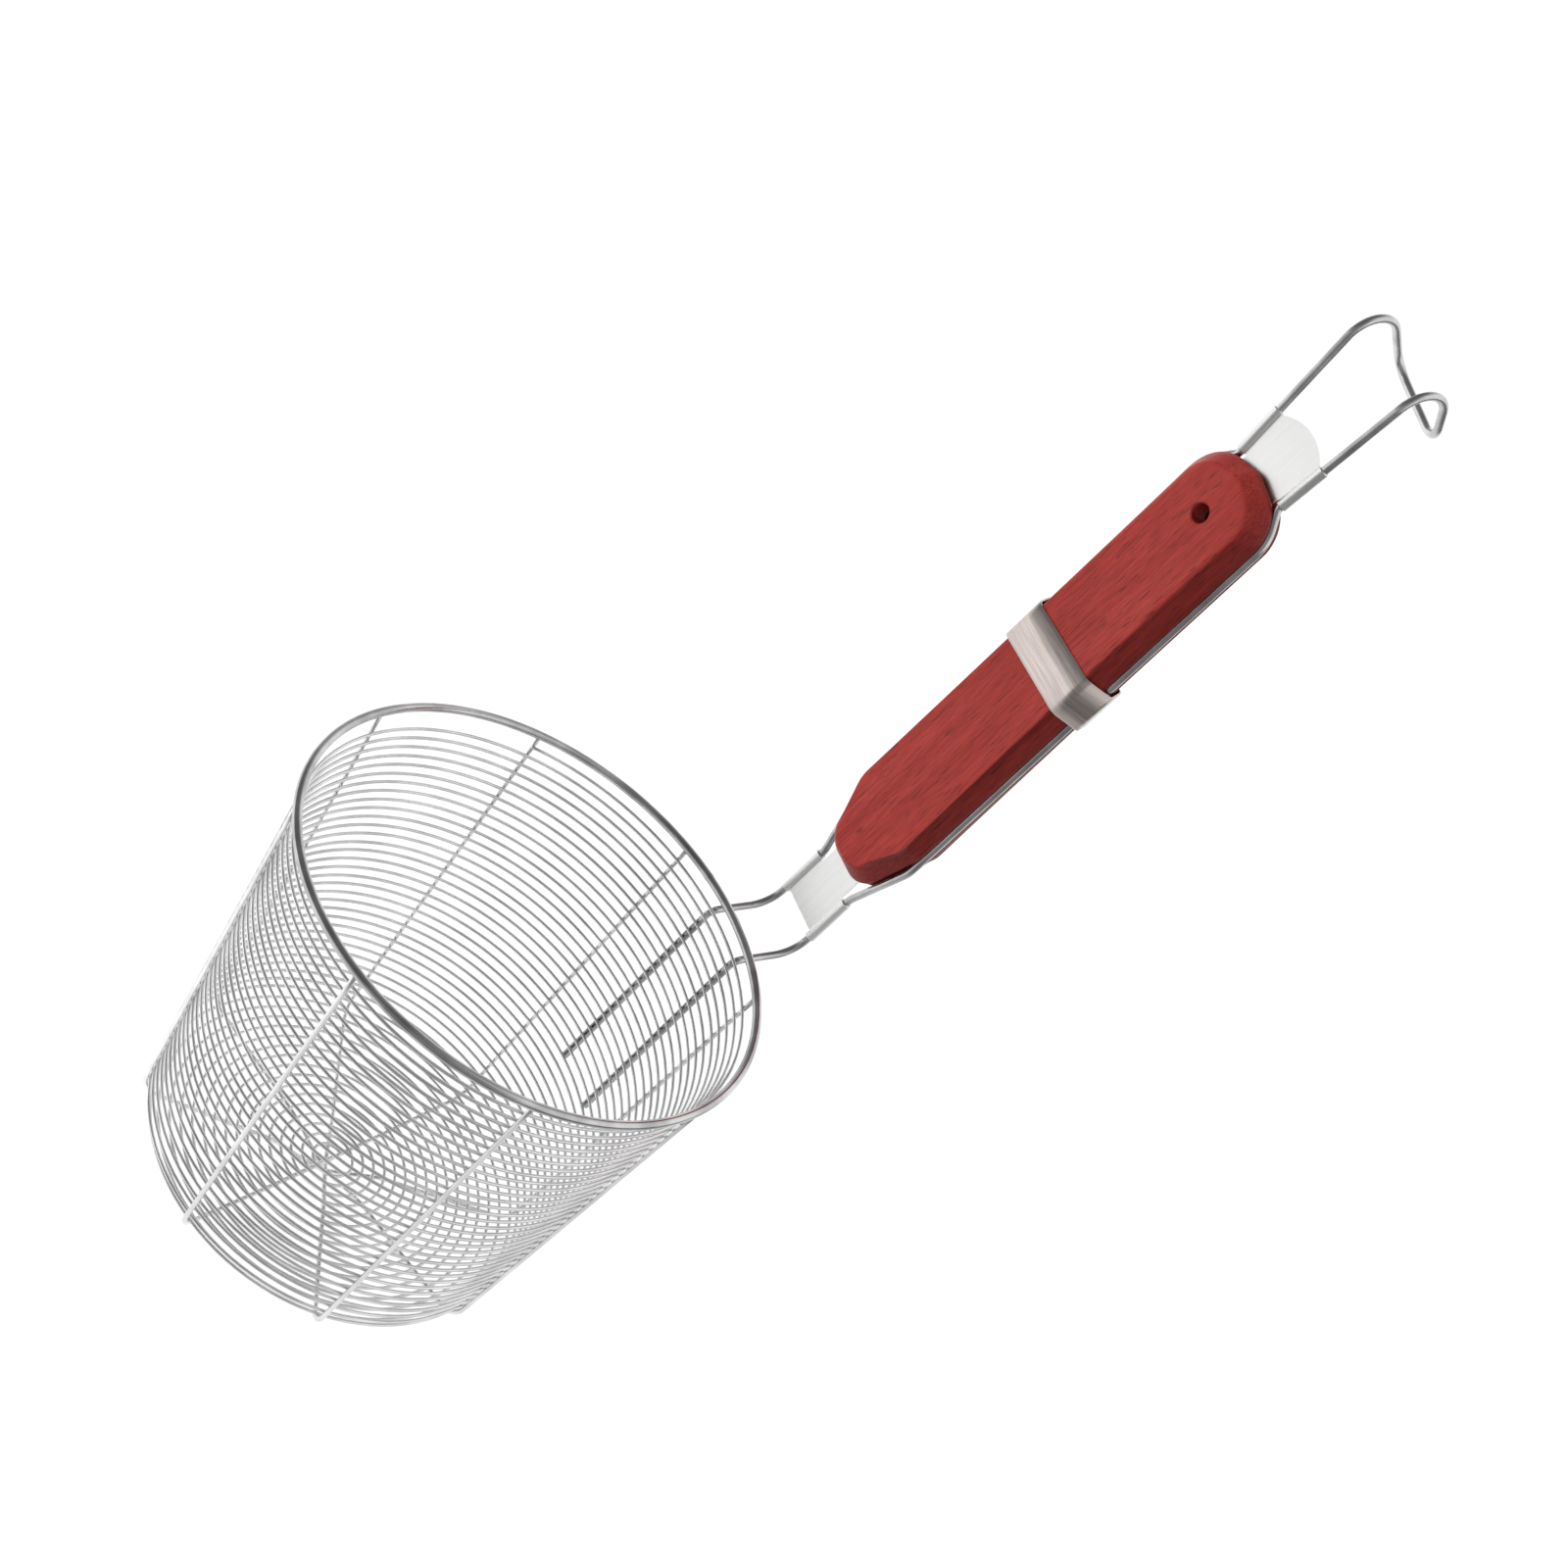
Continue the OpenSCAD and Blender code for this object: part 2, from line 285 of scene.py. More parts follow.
def handle_coords(tree, stretch):
    """Coordinates in the handle's own frame, stretched so that patterns run along it."""
    coords = tree.nodes.new("ShaderNodeTexCoord")
    local = tree.nodes.new("ShaderNodeMapping")
    local.vector_type = "TEXTURE"
    local.inputs["Location"].default_value = HANDLE_FOOT * MM
    local.inputs["Rotation"].default_value = (0, -HANDLE_LEAN, 0)
    link(tree, coords.outputs["Object"], local.inputs["Vector"])
    scaled = tree.nodes.new("ShaderNodeMapping")
    scaled.inputs["Scale"].default_value = stretch
    link(tree, local.outputs["Vector"], scaled.inputs["Vector"])
    return scaled.outputs["Vector"]


def bump(tree, height, strength, distance):
    b = tree.nodes.new("ShaderNodeBump")
    b.inputs["Strength"].default_value = strength
    b.inputs["Distance"].default_value = distance
    link(tree, height, b.inputs["Height"])
    return b.outputs["Normal"]


# Painted shade: the handle wire is coloured darker below this height, on its legs seen behind the winding
PAINTED_SHADE_BELOW = 0.116
PAINTED_SHADE_FADE = 0.002
PAINTED_SHADE_SHARE = 0.55


def painted_leg_shade(tree, vector, colour, height):
    """The wire's colour, darker below a height: painted shade on the legs behind the winding, where they
    are welded to it.
    """
    split = tree.nodes.new("ShaderNodeSeparateXYZ")
    link(tree, vector, split.inputs[0])
    level = node(tree, "ShaderNodeMapRange")
    level.inputs["From Min"].default_value = height - PAINTED_SHADE_FADE
    level.inputs["From Max"].default_value = height
    level.inputs["To Min"].default_value = PAINTED_SHADE_SHARE
    level.inputs["To Max"].default_value = 1.0
    link(tree, split.outputs["Z"], level.inputs["Value"])
    scaled = node(tree, "ShaderNodeVectorMath", operation="SCALE")
    link(tree, colour, scaled.inputs[0])
    link(tree, level.outputs["Result"], scaled.inputs["Scale"])
    return scaled.outputs["Vector"]


def drawn_wire(name, dark, light, roughness, grain, leg_shade_below=0.0):
    """Bright drawn wire: cloudy brightness along it, fine die lines and, below a given height, painted
    shade.
    """
    m, tree, bsdf = new_material(name)
    coords = tree.nodes.new("ShaderNodeTexCoord")
    cloud = node(tree, "ShaderNodeTexNoise", Scale=90.0, Detail=3.0)
    link(tree, coords.outputs["Object"], cloud.inputs["Vector"])
    colour = ramp(tree, cloud.outputs["Fac"], [(0.35, dark), (0.65, light)])
    # painted shade: the colour is darkened below the given height
    if leg_shade_below:
        colour = painted_leg_shade(tree, coords.outputs["Object"], colour, leg_shade_below)
    link(tree, colour, bsdf.inputs["Base Color"])
    fine = node(tree, "ShaderNodeTexNoise", Scale=grain, Detail=2.0)
    link(tree, coords.outputs["Object"], fine.inputs["Vector"])
    spread = node(tree, "ShaderNodeMapRange")
    spread.inputs["To Min"].default_value = roughness - 0.06
    spread.inputs["To Max"].default_value = roughness + 0.08
    link(tree, fine.outputs["Fac"], spread.inputs["Value"])
    link(tree, spread.outputs["Result"], bsdf.inputs["Roughness"])
    link(tree, bump(tree, fine.outputs["Fac"], 0.15, 0.00005), bsdf.inputs["Normal"])
    bsdf.inputs["Metallic"].default_value = 1.0
    return m


def rolled_sheet(name, dark, light, roughness, stretch):
    """Sheet steel with rolling streaks along the handle frame's stretched axis."""
    m, tree, bsdf = new_material(name)
    streaks = node(tree, "ShaderNodeTexNoise", Scale=1.0, Detail=6.0, Roughness=0.65)
    link(tree, handle_coords(tree, stretch), streaks.inputs["Vector"])
    link(tree, ramp(tree, streaks.outputs["Fac"], [(0.3, dark), (0.7, light)]), bsdf.inputs["Base Color"])
    spread = node(tree, "ShaderNodeMapRange")
    spread.inputs["To Min"].default_value = roughness - 0.08
    spread.inputs["To Max"].default_value = roughness + 0.1
    link(tree, streaks.outputs["Fac"], spread.inputs["Value"])
    link(tree, spread.outputs["Result"], bsdf.inputs["Roughness"])
    link(tree, bump(tree, streaks.outputs["Fac"], 0.25, 0.00008), bsdf.inputs["Normal"])
    bsdf.inputs["Metallic"].default_value = 1.0
    return m


def varnished_wood():
    """Red-brown wood: broad figure, fine grain lines and short dark pores under varnish."""
    m, tree, bsdf = new_material("varnished_wood")
    broad = node(tree, "ShaderNodeTexNoise", Scale=1.0, Detail=3.0, Roughness=0.5)
    link(tree, handle_coords(tree, (12, 160, 160)), broad.inputs["Vector"])
    fine = node(tree, "ShaderNodeTexNoise", Scale=1.0, Detail=5.0, Roughness=0.7)
    link(tree, handle_coords(tree, (110, 1400, 1400)), fine.inputs["Vector"])
    pores = node(tree, "ShaderNodeTexNoise", Scale=1.0, Detail=1.0)
    link(tree, handle_coords(tree, (180, 2600, 2600)), pores.inputs["Vector"])
    base = ramp(tree, broad.outputs["Fac"], [
        (0.3, (0.40, 0.038, 0.030)), (0.5, (0.46, 0.050, 0.040)), (0.7, (0.51, 0.064, 0.053))])
    lines = ramp(tree, fine.outputs["Fac"], [(0.3, (0.68, 0.56, 0.56)), (0.62, (1.10, 1.07, 1.07))])
    grained = node(tree, "ShaderNodeMix", data_type="RGBA", blend_type="MULTIPLY")
    grained.inputs["Factor"].default_value = 1.0
    link(tree, base, grained.inputs["A"])
    link(tree, lines, grained.inputs["B"])
    pore_mask = ramp(tree, pores.outputs["Fac"], [(0.62, (0, 0, 0)), (0.72, (0.75, 0.75, 0.75))])
    pored = node(tree, "ShaderNodeMix", data_type="RGBA", blend_type="MIX")
    link(tree, pore_mask, pored.inputs["Factor"])
    link(tree, grained.outputs["Result"], pored.inputs["A"])
    pored.inputs["B"].default_value = (0.075, 0.010, 0.010, 1)
    link(tree, pored.outputs["Result"], bsdf.inputs["Base Color"])
    spread = node(tree, "ShaderNodeMapRange")
    spread.inputs["To Min"].default_value = 0.30
    spread.inputs["To Max"].default_value = 0.48
    link(tree, fine.outputs["Fac"], spread.inputs["Value"])
    link(tree, spread.outputs["Result"], bsdf.inputs["Roughness"])
    link(tree, bump(tree, fine.outputs["Fac"], 0.25, 0.00012), bsdf.inputs["Normal"])
    bsdf.inputs["Specular IOR Level"].default_value = 0.22
    bsdf.inputs["Coat Weight"].default_value = 0.1
    bsdf.inputs["Coat Roughness"].default_value = 0.22
    return m


MATERIALS = {
    "rim": drawn_wire("rim_wire_steel", (0.42, 0.42, 0.43), (0.70, 0.70, 0.70), 0.18, 2500),
    "winding": drawn_wire("winding_steel", (0.72, 0.72, 0.73), (0.92, 0.92, 0.92), 0.30, 3500),
    "rib": drawn_wire("rib_steel", (0.80, 0.80, 0.80), (0.97, 0.97, 0.97), 0.24, 3000),
    # the handle wire's legs carry painted shade below a height
    "frame": drawn_wire("frame_steel", (0.48, 0.48, 0.49), (0.74, 0.74, 0.74), 0.22, 2500, PAINTED_SHADE_BELOW),
    "clip": rolled_sheet("clip_steel", (0.90, 0.90, 0.89), (0.99, 0.99, 0.98), 0.34, (40, 500, 500)),
    "band": rolled_sheet("band_steel", (0.42, 0.37, 0.35), (0.76, 0.67, 0.63), 0.28, (900, 40, 40)),
    "wood": varnished_wood(),
}


def dress(obj, material, slot_name, *replaced):
    obj.data.materials.clear()
    obj.data.materials.append(MATERIALS[material])
    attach(obj, "root")
    if replaced:
        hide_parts(*replaced)


# Basket
RIM_WELD_ANGLE = math.radians(14)


def make_rim():
    bm = bmesh.new()
    count = 288

    def place(k):
        a = 2 * math.pi * k / count
        return on_basket(MOUTH_R + wobble(k / 40, 1, 0.12), a, DEPTH)

    def radius(k):
        off = (2 * math.pi * k / count - RIM_WELD_ANGLE) * MOUTH_R
        return (RIM_WIRE_R + 0.12 * math.exp(-(off / 0.9) ** 2)) * MM

    add_tube(bm, [place(k) for k in range(count)], radius, 18, closed=True)
    dress(finish_mesh("rim_hoop", bm), "rim", "steel_wire", "rim_ring")


TOP_END_ANGLE = math.radians(68)
SEGMENTS_A_TURN = 96


def make_winding():
    """One wire, from the floor's eye out over the floor and up the wall to its end below the rim."""
    bm = bmesh.new()
    t_end = WALL_TOP - (RIM_GAP - 0.5) / math.sin(WALL_ANGLE)
    turns = (t_end - EYE_R) / TURN_PITCH
    count = int(turns * SEGMENTS_A_TURN)
    points = []
    for i in range(count + 1):
        turn = i / SEGMENTS_A_TURN
        t = t_end - turn * TURN_PITCH
        slack = wobble(turn * 2.1, 2, 0.16) + wobble(turn * 9.0, 3, 0.08)
        r, z = shell(t + slack, wobble(turn * 6.0, 4, 0.05) - 0.03)
        points.append(on_basket(r, TOP_END_ANGLE - 2 * math.pi * turn, z))
    add_tube(bm, points, WINDING_R * MM, 8)
    dress(finish_mesh("winding_wire", bm), "winding", "steel_wire", "winding")


def rib_point(t, level):
    r, z = shell(t, RIB_OFFSET)
    dip = (1 + math.cos(math.pi * r / CROSS_R)) / 2 if r < CROSS_R else 0
    return r, z - level * CROSS_STEP * dip


def make_ribs():
    top = WALL_TOP - RIM_WIRE_R - TOUCH
    for level in range(RIB_WIRES):
        angle = (level + 0.5) * math.pi / RIB_WIRES
        runs = [i * FLAT_R / 40 for i in range(40)]
        runs += [FLAT_R + BEND_L * i / 12 for i in range(13)]
        start = FLAT_R + BEND_L
        runs += [start + (top - start) * i / 16 for i in range(1, 17)]
        half = [rib_point(t, level) for t in runs]
        points = [on_basket(-r, angle, z) for r, z in reversed(half[1:])]
        points += [on_basket(r, angle, z) for r, z in half]
        bm = bmesh.new()
        add_tube(bm, points, RIB_R * MM, 12)
        name = f"rib_{level + 1}"
        dress(finish_mesh(f"rib_wire_{level + 1}", bm), "rib", "rib_wire", name)


# Handle wire
def leg_point(h, side):
    t = FLAT_R + BEND_L - CORNER_RUN + h / math.sin(WALL_ANGLE)
    r, z = shell(t, LEG_OFFSET)
    return Vector((math.sqrt(r * r - LEG_HALF * LEG_HALF), side * LEG_HALF, z + STAND_H)) * MM


def neck_y(s):
    return NECK_HALF + (s - NECK_S) * (HOOK_HALF - NECK_HALF) / (GRIP_END + HOOK_REACH - NECK_S)


def frame_side(side):
    """One side of the handle wire, from the end of its leg to the corner of the hook's cross bar."""
    start = GRIP_END + HOOK_REACH + side * HOOK_SKEW / 2
    turn = CURL_ANGLE - side * CURL_TWIST / 2
    run = CURL_TAIL + side * TAIL_SKEW / 2 + CROSSBAR_R
    corners = [
        (leg_point(LEG_END_H, side), 0),
        (leg_point(DEPTH - LEG_TURN_DROP, side), LEG_TURN_R * MM),
        (on_handle(0, side * LEG_HALF, 0), HANDLE_BEND_R * MM),
        (on_handle(FOOT_H + FRONT_TUBE_L + FLARE_START, side * LEG_HALF, 0), FLARE_R * MM),
        (on_handle(GRIP_S + FLARE_END, side * WIRE_EDGE, 0), WAIST_R * MM),
        (on_handle(GRIP_END - TIP_TURN, side * WIRE_EDGE, 0), WAIST_R * MM),
        (on_handle(NECK_S, side * NECK_HALF, 0), NECK_R * MM),
    ]
    steps = 16
    for i in range(steps + 1):
        a = turn * i / steps
        s, n = start + CURL_R * math.sin(a), -CURL_R * (1 - math.cos(a))
        corners.append((on_handle(s, side * neck_y(start), n), 0))
    corners.append((on_handle(
        start + CURL_R * math.sin(turn) + run * math.cos(turn), side * neck_y(start),
        -CURL_R * (1 - math.cos(turn)) - run * math.sin(turn)), CROSSBAR_R * MM))
    return corners


def make_frame_wire():
    bm = bmesh.new()
    add_tube(bm, route(frame_side(1) + frame_side(-1)[::-1]), FRAME_R * MM, 16)
    dress(finish_mesh("handle_wire", bm), "frame", "steel_wire", "frame_wire")


# Clips
def sheet_body(bm, outline, thickness):
    """A flat sheet in the handle's plane from an outline of (s, y) points."""
    low = [bm.verts.new(on_handle(s, y, -thickness / 2)) for s, y in outline]
    high = [bm.verts.new(on_handle(s, y, thickness / 2)) for s, y in outline]
    bm.faces.new(high)
    bm.faces.new(list(reversed(low)))
    for k in range(len(outline)):
        j = (k + 1) % len(outline)
        bm.faces.new((low[k], low[j], high[j], high[k]))


def clip_tube(bm, s0, y0, s1, y1):
    """A rolled tube round a wire, with thickness and slightly flared mouths."""
    inner = FRAME_R + TOUCH
    outer = inner + CLIP_T
    profile = [
        (0.0, inner + 0.02), (0.0, outer - 0.12), (0.12, outer), (1.2, outer - 0.03),
    ]
    sections = profile + [(-u, r) for u, r in reversed(profile)]
    axis0, axis1 = on_handle(s0, y0, 0), on_handle(s1, y1, 0)
    along = (axis1 - axis0).normalized()
    side = OUT.copy()
    other = along.cross(side)
    sides = 24
    rings = []
    for u, r in sections:
        base = axis0 + along * u * MM if u > 0 or (u == 0 and len(rings) < 4) else axis1 + along * u * MM
        rings.append([bm.verts.new(base + r * MM * (math.cos(2 * math.pi * k / sides) * side
                                                  + math.sin(2 * math.pi * k / sides) * other))
                      for k in range(sides)])
    for i in range(len(rings)):
        a, b = rings[i], rings[(i + 1) % len(rings)]
        for k in range(sides):
            j = (k + 1) % sides
            bm.faces.new((a[k], a[j], b[j], b[k]))


def make_clip(name, replaced, tubes, outline):
    bm = bmesh.new()
    for tube in tubes:
        clip_tube(bm, *tube)
    sheet_body(bm, outline, CLIP_T)
    bmesh.ops.recalc_face_normals(bm, faces=bm.faces)
    obj = finish_mesh(name, bm)
    edge_split(obj)
    dress(obj, "clip", "steel_sheet", replaced)


def edge_split(obj, angle=35):
    mod = obj.modifiers.new("hard_edges", "EDGE_SPLIT")
    mod.split_angle = math.radians(angle)


def make_front_clip():
    half = LEG_HALF
    s0, s1 = FOOT_H, FOOT_H + FRONT_TUBE_L
    tuck = half - 2 * FRAME_R
    outline = [(s0 + 1, -half), (s0 + 1, half), (s1 - 1, half), (s1 - 1, tuck), (GRIP_S + FRONT_TUCK, tuck),
               (GRIP_S + FRONT_TUCK, -tuck), (s1 - 1, -tuck), (s1 - 1, -half)]
    tubes = [(s0, side * half, s1, side * half) for side in (-1, 1)]
    make_clip("front_clip_sheet", "front_clip", tubes, outline)


def make_rear_clip():
    s0, s1 = REAR_S, REAR_S + REAR_TUBE_L
    tubes = [(s0, side * neck_y(s0), s1, side * neck_y(s1)) for side in (-1, 1)]
    tuck = NECK_HALF - 2 * FRAME_R
    far = s1 + WEB_BULGE
    half = neck_y(s1)
    radius = (half ** 2 + (WEB_BULGE + 2) ** 2) / 2 / (WEB_BULGE + 2)
    arc = []
    for i in range(-12, 13):
        y = half * i / 12
        arc.append((far - radius + math.sqrt(radius ** 2 - y ** 2), y))
    outline = [(GRIP_END - WEB_TUCK, tuck), (GRIP_END - WEB_TUCK, -tuck), (s0, -tuck),
               (s0 + 1, -neck_y(s0 + 1))]
    outline += arc + [(s0 + 1, neck_y(s0 + 1)), (s0, tuck)]
    make_clip("rear_clip_sheet", "rear_clip", tubes, outline)


# Wooden scales
def scale_outline(inset, count=96):
    """Points of the scale's outline, the hull of seven circles, moved in from its edge by inset."""
    shrink = inset / 2
    side_y = GRIP_HALF - inset - (SIDE_R - shrink)
    back = TIP_SLANT * inset
    circles = [(GRIP_END + NOSE_OVER - NOSE_R - back, 0.0, NOSE_R - shrink)]
    for side in (-1, 1):
        circles.append((GRIP_END + TIP_OVER - SIDE_R - back, side * side_y, SIDE_R - shrink))
        circles.append((GRIP_S + HEEL_L, side * (GRIP_HALF - inset - SWELL_R + shrink), SWELL_R - shrink))
        heel_y = HEEL_HALF - HEEL_R - shrink
        circles.append((GRIP_S + inset + HEEL_R - shrink, side * heel_y, HEEL_R - shrink))
    points = []
    for i in range(count):
        a = 2 * math.pi * (i + 0.5) / count
        s, y, r = max(circles, key=lambda c: c[0] * math.cos(a) + c[1] * math.sin(a) + c[2])
        points.append((s + r * math.cos(a), y + r * math.sin(a)))
    return points


def make_scale(name, replaced, face):
    levels = [(0.0, 0.25), (0.25, 0.02), (0.9, 0.0)]
    top_h = SCALE_T
    for i in range(9):
        a = i / 8
        levels.append((1.4 + (top_h - 1.9) * a, BEVEL_W * 0.86 * a ** 1.15))
    levels += [(top_h - 0.22, BEVEL_W * 0.95), (top_h - 0.06, BEVEL_W * 1.08), (top_h, BEVEL_W * 1.3)]
    bm = bmesh.new()
    rings = []
    for h, inset in levels:
        rings.append([bm.verts.new(on_handle(s, y, face * (SCALE_N + h))) for s, y in scale_outline(inset)])
    for a, b in zip(rings, rings[1:]):
        for k in range(len(a)):
            j = (k + 1) % len(a)
            bm.faces.new((a[k], a[j], b[j], b[k]))
    bm.faces.new(rings[-1])
    bm.faces.new(list(reversed(rings[0])))
    bmesh.ops.recalc_face_normals(bm, faces=bm.faces)
    obj = finish_mesh(name, bm)
    drill(obj, face)
    edge_split(obj, 32)
    dress(obj, "wood", "varnished_wood", replaced)


def drill(obj, face):
    """Cuts the hanging hole with a small countersink."""
    bm = bmesh.new()
    s = GRIP_END - HOLE_INSET
    rings = []
    for n, r in ((-1.0, HOLE_R), (SCALE_N + SCALE_T - 0.35, HOLE_R),
                 (SCALE_N + SCALE_T + 0.05, HOLE_R + 0.4), (SCALE_N + SCALE_T + 1, HOLE_R + 1.35)):
        rings.append([bm.verts.new(on_handle(s + r * math.cos(a), r * math.sin(a), face * n))
                      for a in (2 * math.pi * k / 40 for k in range(40))])
    for a, b in zip(rings, rings[1:]):
        for k in range(40):
            j = (k + 1) % 40
            bm.faces.new((a[k], a[j], b[j], b[k]))
    bm.faces.new(rings[-1])
    bm.faces.new(list(reversed(rings[0])))
    bmesh.ops.recalc_face_normals(bm, faces=bm.faces)
    cutter = finish_mesh(obj.name + "_drill", bm)
    mod = obj.modifiers.new("drill", "BOOLEAN")
    mod.operation = "DIFFERENCE"
    mod.solver = "EXACT"
    mod.object = cutter
    bpy.context.view_layer.update()
    graph = bpy.context.evaluated_depsgraph_get()
    mesh = bpy.data.meshes.new_from_object(obj.evaluated_get(graph))
    obj.modifiers.clear()
    obj.data = mesh
    bpy.data.objects.remove(cutter)


# Band
def band_section(grow, count=8):
    """The band's outline across the grip as (y, n) points, moved outwards by grow."""
    top = SCALE_N + SCALE_T - BAND_CORNER
    edge = GRIP_HALF - BEVEL_W
    ys = WIRE_EDGE + BAND_STAND
    turn = math.atan2(-top, ys - edge) + math.acos((BAND_CORNER - FRAME_R) / math.hypot(ys - edge, top))
    points = []

    def arc(y, n, r, a0, a1):
        for i in range(count + 1):
            a = a0 + (a1 - a0) * i / count
            points.append((y + (r + grow) * math.cos(a), n + (r + grow) * math.sin(a)))

    arc(ys, 0, FRAME_R, -turn, turn)
    arc(edge, top, BAND_CORNER, turn, math.pi / 2)
    arc(-edge, top, BAND_CORNER, math.pi / 2, math.pi - turn)
    arc(-ys, 0, FRAME_R, math.pi - turn, math.pi + turn)
    arc(-edge, -top, BAND_CORNER, math.pi + turn, 1.5 * math.pi)
    arc(edge, -top, BAND_CORNER, 1.5 * math.pi, 2 * math.pi - turn)
    return points


def make_band():
    bm = bmesh.new()
    profile = [(0.0, BAND_GAP), (0.0, BAND_GAP + BAND_T - 0.1), (0.12, BAND_GAP + BAND_T)]
    rows = profile + [(BAND_W - u, g) for u, g in reversed(profile)]
    rings = [[bm.verts.new(on_handle(BAND_S + u, y, n)) for y, n in band_section(g)] for u, g in rows]
    for i in range(len(rings)):
        a, b = rings[i], rings[(i + 1) % len(rings)]
        for k in range(len(a)):
            j = (k + 1) % len(a)
            bm.faces.new((a[k], a[j], b[j], b[k]))
    bmesh.ops.recalc_face_normals(bm, faces=bm.faces)
    obj = finish_mesh("grip_band", bm)
    edge_split(obj, 40)
    dress(obj, "band", "band_steel", "band")


# Stage
CAMERA_AT = Vector((-375.2, -334.9, 505.5))
CAMERA_LOOK = Vector((0.67004, 0.53428, -0.51536))
CAMERA_ROLL = math.radians(41.167)
FOCAL_SHARE = 2411 / 1600
SENSOR = 36.0


def make_camera():
    look = CAMERA_LOOK.normalized()
    level = look.cross(Vector((0, 0, 1))).normalized()
    upright = level.cross(look)
    right = level * math.cos(CAMERA_ROLL) + upright * math.sin(CAMERA_ROLL)
    up = right.cross(look)
    turn = Matrix((right, up, -look)).transposed()
    data = bpy.data.cameras.new("camera")
    data.sensor_fit = "HORIZONTAL"
    data.sensor_width = SENSOR
    data.lens = SENSOR * FOCAL_SHARE
    data.clip_start = 0.01
    camera = bpy.data.objects.new("camera", data)
    camera.matrix_world = Matrix.Translation(CAMERA_AT * MM) @ turn.to_4x4()
    bpy.context.scene.collection.objects.link(camera)
    bpy.context.scene.camera = camera


def make_lamp(name, at, target, power, size):
    data = bpy.data.lights.new(name, "AREA")
    data.energy = power
    data.size = size
    lamp = bpy.data.objects.new(name, data)
    lamp.location = at
    lamp.visible_glossy = False
    lamp.rotation_euler = (Vector(target) - Vector(at)).to_track_quat("-Z", "Y").to_euler()
    bpy.context.scene.collection.objects.link(lamp)


def seen_directly(tree):
    """1 for rays that show the background: from the camera, in a reflection or through glass."""
    path = tree.nodes.new("ShaderNodeLightPath")
    total = path.outputs["Is Camera Ray"]
    for name in ("Is Glossy Ray", "Is Transmission Ray"):
        both = tree.nodes.new("ShaderNodeMath")
        both.operation = "MAXIMUM"
        link(tree, total, both.inputs[0])
        link(tree, path.outputs[name], both.inputs[1])
        total = both.outputs[0]
    return total


AMBIENT = 0.28
# Each shade of the room, seen in reflections only: side, where it starts and ends, and its grey
ROOM_SHADE = (Vector((-0.35, 0.55, 0.75)), 0.3, 0.8, 0.18)
CAMERA_SHADE = (Vector((-0.67, -0.53, 0.35)), 0.55, 0.85, 0.32)
FLOOR_SHADE = (Vector((-0.2, -0.98, 0.0)), -0.02, 0.30, 0.08)
FLOOR_HALF = 6.0
FLOOR_DROP = 0.0002
FLOOR_GLOW = 0.93
FLOOR_COLOUR = (0.35, 0.35, 0.35, 1)
LAMP_AT = (-1.15, 0.75, 0.55)
LAMP_TARGET = (0.08, 0, 0.2)
LAMP_POWER = 14.3
LAMP_SIZE = 0.8


def room_shade(tree, vector, side, start, end, grey):
    """1 away from the given side, falling to grey towards it."""
    facing = node(tree, "ShaderNodeVectorMath", operation="DOT_PRODUCT")
    facing.inputs[1].default_value = side.normalized()
    link(tree, vector, facing.inputs[0])
    shade = node(tree, "ShaderNodeMapRange")
    shade.inputs["From Min"].default_value = start
    shade.inputs["From Max"].default_value = end
    shade.inputs["To Min"].default_value = 1.0
    shade.inputs["To Max"].default_value = grey
    link(tree, facing.outputs["Value"], shade.inputs["Value"])
    return shade.outputs["Result"]


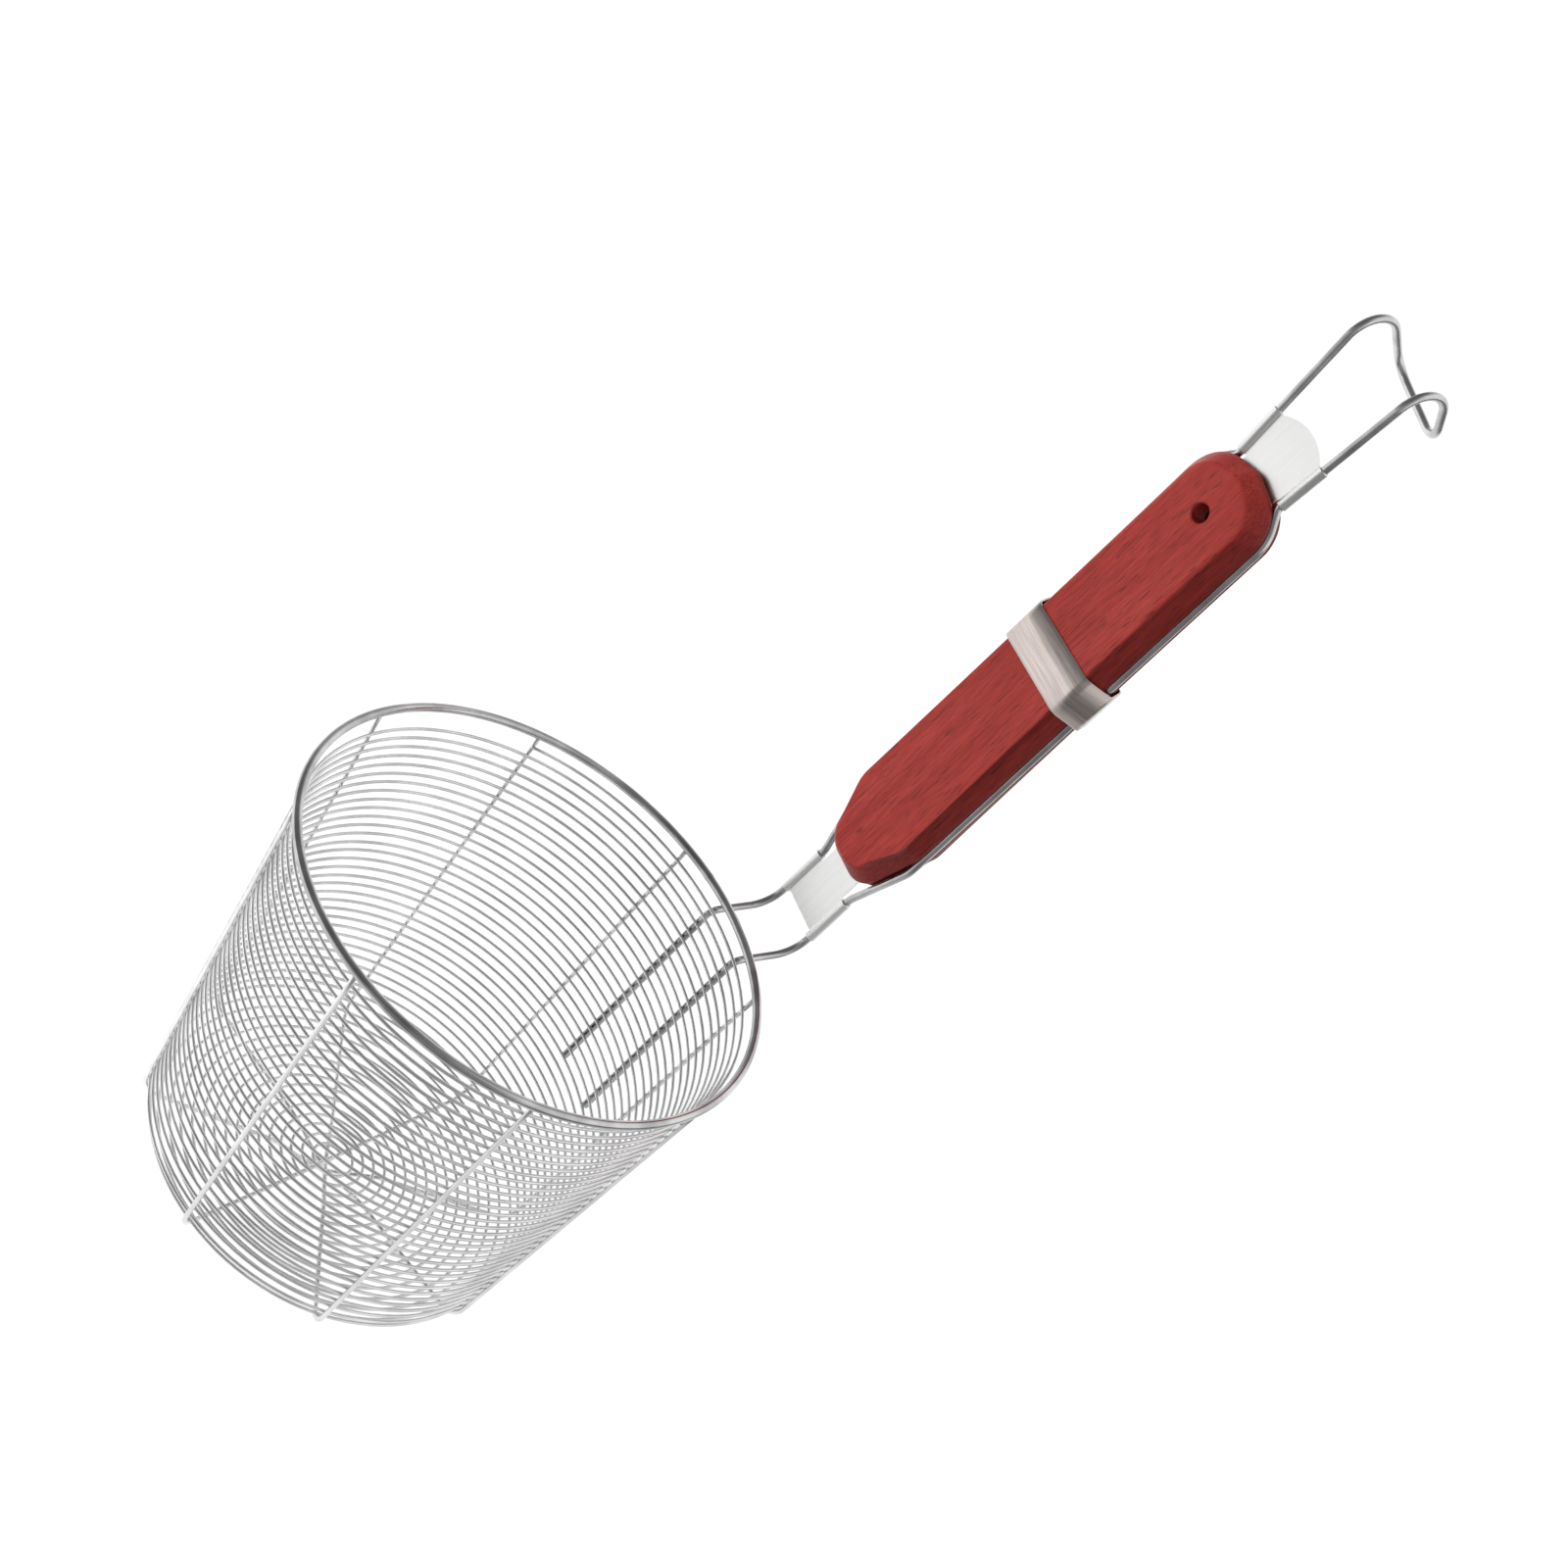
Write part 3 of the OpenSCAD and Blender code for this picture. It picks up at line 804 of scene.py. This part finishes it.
def make_world():
    """White behind the object. Its reflections also show the darker room above and beside the camera."""
    world = bpy.data.worlds.new("studio")
    world.use_nodes = True
    tree = world.node_tree
    coords = tree.nodes.new("ShaderNodeTexCoord")
    above = room_shade(tree, coords.outputs["Generated"], *ROOM_SHADE)
    beside = room_shade(tree, coords.outputs["Generated"], *CAMERA_SHADE)
    room = node(tree, "ShaderNodeMath", operation="MULTIPLY")
    link(tree, above, room.inputs[0])
    link(tree, beside, room.inputs[1])
    path = tree.nodes.new("ShaderNodeLightPath")
    diffuse = node(tree, "ShaderNodeMix", data_type="FLOAT")
    diffuse.inputs["B"].default_value = AMBIENT
    link(tree, path.outputs["Is Diffuse Ray"], diffuse.inputs["Factor"])
    link(tree, room.outputs[0], diffuse.inputs["A"])
    seen = node(tree, "ShaderNodeMix", data_type="FLOAT")
    seen.inputs["B"].default_value = 1.0
    link(tree, path.outputs["Is Camera Ray"], seen.inputs["Factor"])
    link(tree, diffuse.outputs["Result"], seen.inputs["A"])
    background = tree.nodes["Background"]
    background.inputs["Color"].default_value = (1, 1, 1, 1)
    link(tree, seen.outputs["Result"], background.inputs["Strength"])
    bpy.context.scene.world = world


def make_floor():
    """White to the camera. Its reflections are darker on the near side."""
    bm = bmesh.new()
    corners = ((-1, -1), (1, -1), (1, 1), (-1, 1))
    bm.faces.new([bm.verts.new((x * FLOOR_HALF, y * FLOOR_HALF, -FLOOR_DROP)) for x, y in corners])
    floor = finish_mesh("floor", bm, smooth=False)
    m, tree, bsdf = new_material("floor_paper")
    bsdf.inputs["Base Color"].default_value = FLOOR_COLOUR
    bsdf.inputs["Roughness"].default_value = 0.9
    bsdf.inputs["Specular IOR Level"].default_value = 0.0
    bsdf.inputs["Emission Color"].default_value = (1, 1, 1, 1)
    lift = node(tree, "ShaderNodeMath", operation="MULTIPLY")
    lift.inputs[1].default_value = FLOOR_GLOW
    link(tree, seen_directly(tree), lift.inputs[0])
    coords = tree.nodes.new("ShaderNodeTexCoord")
    room = room_shade(tree, coords.outputs["Object"], *FLOOR_SHADE)
    seen = node(tree, "ShaderNodeMix", data_type="FLOAT")
    seen.inputs["B"].default_value = 1.0
    link(tree, tree.nodes.new("ShaderNodeLightPath").outputs["Is Camera Ray"], seen.inputs["Factor"])
    link(tree, room, seen.inputs["A"])
    strength = node(tree, "ShaderNodeMath", operation="MULTIPLY")
    link(tree, lift.outputs[0], strength.inputs[0])
    link(tree, seen.outputs["Result"], strength.inputs[1])
    link(tree, strength.outputs[0], bsdf.inputs["Emission Strength"])
    floor.data.materials.append(m)


make_camera()
make_rim()
make_winding()
make_ribs()
make_frame_wire()
make_front_clip()
make_rear_clip()
make_scale("near_scale", "upper_scale", 1)
make_scale("far_scale", "lower_scale", -1)
make_band()
make_world()
make_floor()
make_lamp("key", LAMP_AT, LAMP_TARGET, LAMP_POWER, LAMP_SIZE)
bpy.context.scene.view_settings.view_transform = "Standard"
